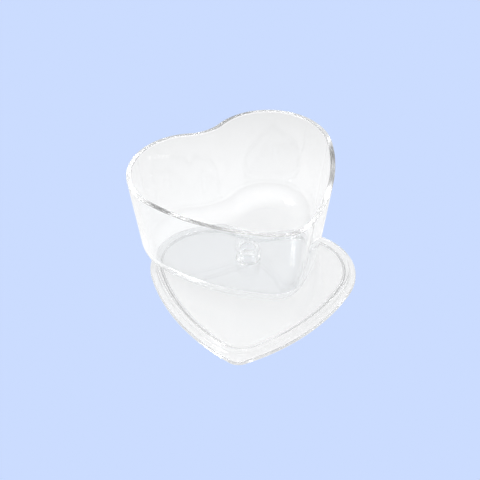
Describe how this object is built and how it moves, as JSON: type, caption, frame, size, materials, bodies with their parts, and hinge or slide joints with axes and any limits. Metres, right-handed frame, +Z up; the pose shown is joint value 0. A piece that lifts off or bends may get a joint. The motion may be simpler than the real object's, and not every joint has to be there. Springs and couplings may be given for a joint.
{
  "type": "heart-shaped box",
  "caption": "Clear heart-shaped moulded box: a deep tapered tub with a hollow post in its floor, standing on its upturned plug-in lid.",
  "frame": {"origin": "middle of the whole footprint, on the surface that the lid lies on", "axes": "+Z up, the way the tub is lifted; the tub's heart points along -Y with its cleft towards +Y; the lid is turned 35.7 degrees clockwise under it"},
  "size_m": [0.0698, 0.0714, 0.0379],
  "materials": {
    "clear_tub": "clear, colourless, polished moulded polystyrene",
    "clear_lid": "clear, colourless, polished moulded polystyrene"
  },
  "bodies": {
    "lid": {"lid": "clear_lid"},
    "tub": {"tub": "clear_tub"}
  },
  "joints": [
    {"name": "tub_lift", "type": "slide", "parent": "lid", "child": "tub", "axis": [0, 0, 1], "range_m": [0, 0.05]}
  ]
}
